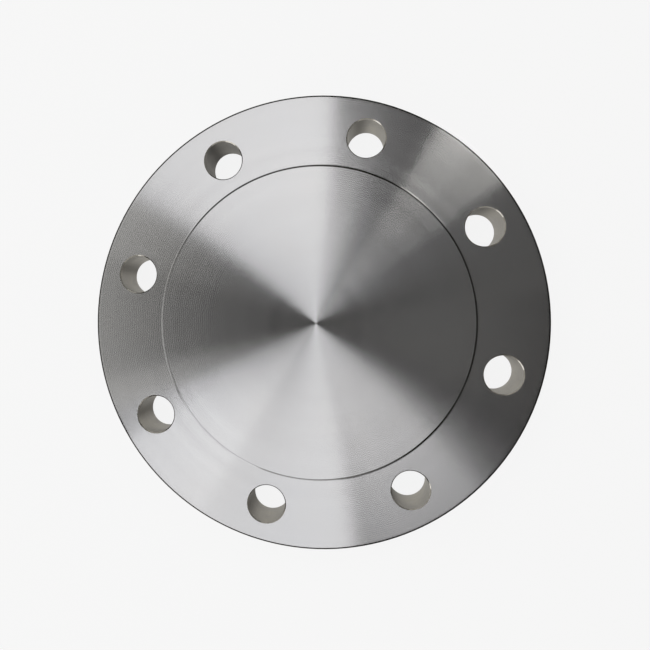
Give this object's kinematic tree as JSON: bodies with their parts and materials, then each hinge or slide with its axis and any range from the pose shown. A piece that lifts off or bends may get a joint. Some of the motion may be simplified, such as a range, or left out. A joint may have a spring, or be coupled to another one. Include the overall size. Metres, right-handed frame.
{
  "type": "blind flange",
  "caption": "Raised-face blind flange: a round turned steel disc with a ring of bolt holes that closes the end of a pipe or nozzle.",
  "frame": {"origin": "centre of the flat back face, on which the flange lies", "axes": "+Z along the pipe's axis, out of the raised face; the bolt holes straddle X and Y"},
  "size_m": [0.2286, 0.2286, 0.0239],
  "materials": {
    "turned_stainless_steel": "lathe-turned stainless steel, bright and bare, with fine concentric tool marks"
  },
  "bodies": {
    "root": {"blind_flange": "turned_stainless_steel"}
  },
  "joints": []
}
